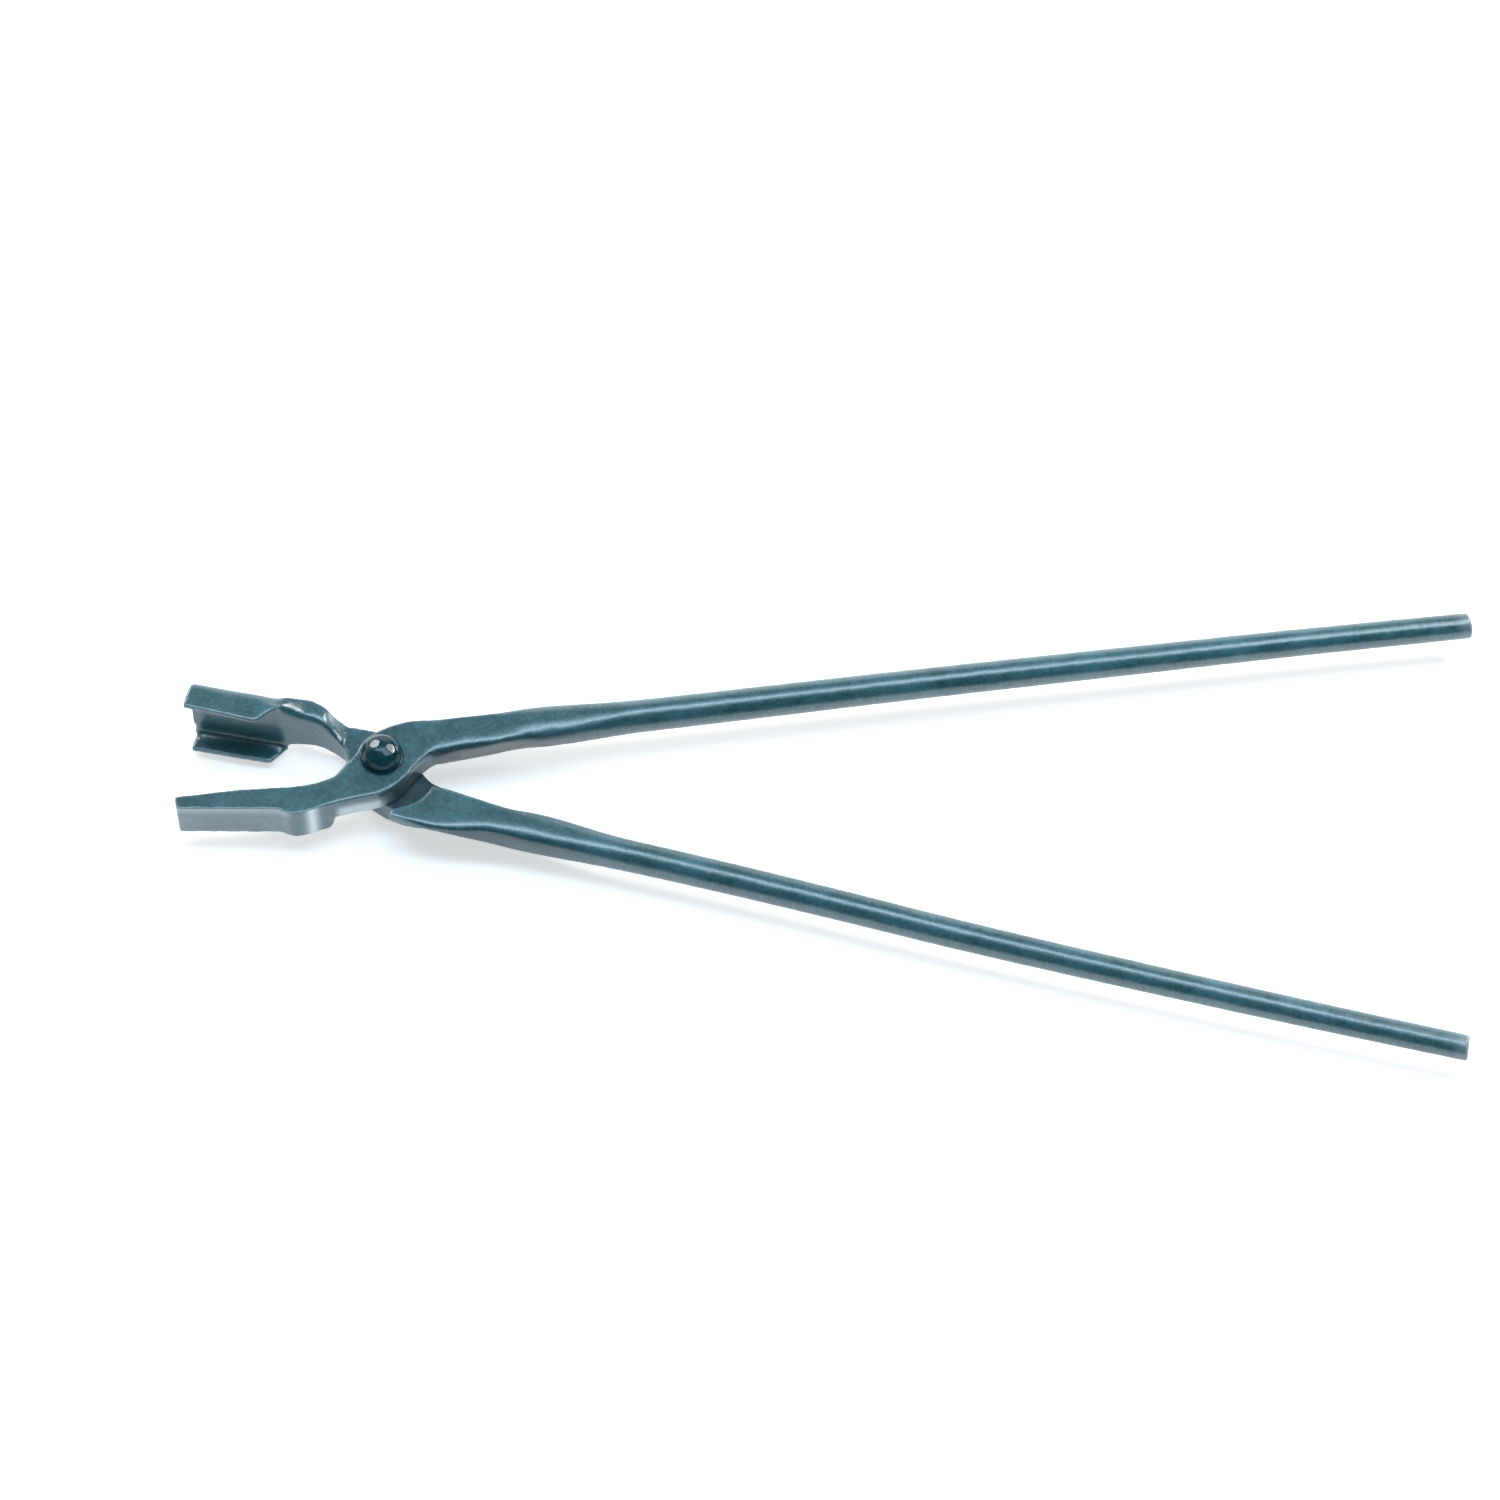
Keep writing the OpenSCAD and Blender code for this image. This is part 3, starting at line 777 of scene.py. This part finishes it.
def studio_world():
    """A quiet studio: a pale wall behind the tongs that darkens upwards and to the right, and dark in front."""
    world = bpy.data.worlds.new("studio")
    world.use_nodes = True
    nodes = Nodes(world.node_tree)
    background = world.node_tree.nodes["Background"]
    way = nodes.add("ShaderNodeTexCoord").outputs["Generated"]
    parts = nodes.add("ShaderNodeSeparateXYZ")
    nodes.put(parts, "Vector", way)
    behind = nodes.ramp(parts.outputs["Y"], -0.25, 0.45)
    wall = nodes.ramp(parts.outputs["Z"], 0.30, 0.84, 1.25, 0.08)
    wall = nodes.math("MULTIPLY", wall, nodes.ramp(parts.outputs["X"], 0.20, 0.60, 1.0, 0.12))
    level = nodes.math("ADD", nodes.math("MULTIPLY", behind, wall), 0.03)
    # A soft, cool skylight straight above widens the strip lamp's highlight along the reins
    above = nodes.ramp(parts.outputs["Z"], 0.90, 0.985)
    nodes.put(background, "Color", nodes.blend(above, (1.0, 1.0, 1.0), (0.60, 0.80, 1.0)))
    nodes.put(background, "Strength", nodes.math("ADD", level, nodes.math("MULTIPLY", above, 1.7)))
    bpy.context.scene.world = world


def dress(piece, material, body, node):
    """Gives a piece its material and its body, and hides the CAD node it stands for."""
    piece.data.materials.append(material)
    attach(piece, body)
    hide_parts(node)


def lacquer_material(finish):
    return bpy.data.materials.get("teal_lacquer") or lacquered_steel(finish)


class TONGS_OT_flat_jaw_half(Operator):
    """Forge the half with the flat jaw"""

    bl_idname = "tongs.flat_jaw_half"
    bl_label = "Flat-Jaw Half"

    def execute(self, context):
        form, finish = context.scene.tongs_form, context.scene.tongs_finish
        piece = forged_half("flat_jaw_half", "flat_jaw_forging", 1, FLAT_HALF_BENDS, form)
        dress(piece, lacquer_material(finish), "flat_half", "flat_jaw_half")
        return {"FINISHED"}


class TONGS_OT_box_jaw_half(Operator):
    """Forge the half with the box jaw"""

    bl_idname = "tongs.box_jaw_half"
    bl_label = "Box-Jaw Half"

    def execute(self, context):
        form, finish = context.scene.tongs_form, context.scene.tongs_finish
        piece = forged_half("box_jaw_half", "box_jaw_forging", -1, BOX_HALF_BENDS, form)
        dress(piece, lacquer_material(finish), "box_half", "box_jaw_half")
        return {"FINISHED"}


class TONGS_OT_rivet(Operator):
    """Turn and hammer the rivet"""

    bl_idname = "tongs.rivet"
    bl_label = "Rivet"

    def execute(self, context):
        form, finish = context.scene.tongs_form, context.scene.tongs_finish
        piece = shown("rivet_forged", rivet_mesh(form))
        dress(piece, dark_rivet(finish), "box_half", "rivet")
        return {"FINISHED"}


class TONGS_OT_studio(Operator):
    """Set up the floor, the lamps and the camera"""

    bl_idname = "tongs.studio"
    bl_label = "Studio"

    def execute(self, context):
        studio = context.scene.tongs_studio
        made = bmesh.new()
        bmesh.ops.create_grid(made, x_segments=8, y_segments=8, size=12.0)
        bmesh.ops.translate(made, verts=made.verts, vec=(0, 0, -0.2 * MM))
        mesh = bpy.data.meshes.new("floor")
        made.to_mesh(mesh)
        made.free()
        floor = shown("floor", mesh)
        floor.data.materials.append(pale_floor(studio))
        add_camera(studio)
        middle = (0.16, 0.0, 0.0)
        add_lamp("fill", (0.16, 0.9, 1.6), middle, (2.2, 1.8), studio.fill_power, glossy=False)
        add_lamp("front", (0.16, -1.3, 0.8), middle, (2.0, 0.8), studio.front_power, glossy=False)
        add_lamp("side", (0.98, 0.68, 0.08), (0.0, 0.02, 0.02), (0.34, 0.22), studio.side_power)
        spark = studio.spark_power
        add_lamp("spark_left", (-0.51, 0.64, 0.60), (0.0, 0.0, 0.03), (0.12, 0.12), 0.4 * spark)
        add_lamp("spark_right", (0.69, 0.31, 0.67), (0.0, 0.0, 0.03), (0.12, 0.12), spark)
        strip = add_lamp("strip", (0.16, 0.02, 1.25), middle, (2.0, 0.24), studio.strip_power)
        strip.data.color = (0.60, 0.81, 1.0)
        studio_world()
        context.scene.view_settings.view_transform = "Standard"
        return {"FINISHED"}


class TONGS_PT_panel(Panel):
    """Pieces and settings of the tongs"""

    bl_label = "Box-Jaw Tongs"
    bl_space_type = "VIEW_3D"
    bl_region_type = "UI"
    bl_category = "Tongs"

    def draw(self, context):
        column = self.layout.column()
        for operator in OPERATORS:
            column.operator(operator.bl_idname)
        for name in ("tongs_form", "tongs_finish", "tongs_studio"):
            group_of = getattr(context.scene, name)
            box = self.layout.box()
            for key in group_of.bl_rna.properties.keys():
                if key not in ("rna_type", "name"):
                    box.prop(group_of, key)


GROUPS = {"tongs_form": TongsForm, "tongs_finish": TongsFinish, "tongs_studio": TongsStudio}
OPERATORS = (TONGS_OT_flat_jaw_half, TONGS_OT_box_jaw_half, TONGS_OT_rivet, TONGS_OT_studio)


def register():
    for cls in (*GROUPS.values(), *OPERATORS, TONGS_PT_panel):
        bpy.utils.register_class(cls)
    for name, cls in GROUPS.items():
        setattr(bpy.types.Scene, name, PointerProperty(type=cls))


def unregister():
    for name in GROUPS:
        delattr(bpy.types.Scene, name)
    for cls in reversed((*GROUPS.values(), *OPERATORS, TONGS_PT_panel)):
        bpy.utils.unregister_class(cls)


def main():
    register()
    bpy.ops.tongs.flat_jaw_half()
    bpy.ops.tongs.box_jaw_half()
    bpy.ops.tongs.rivet()
    bpy.ops.tongs.studio()


if __name__ == "__main__":
    main()
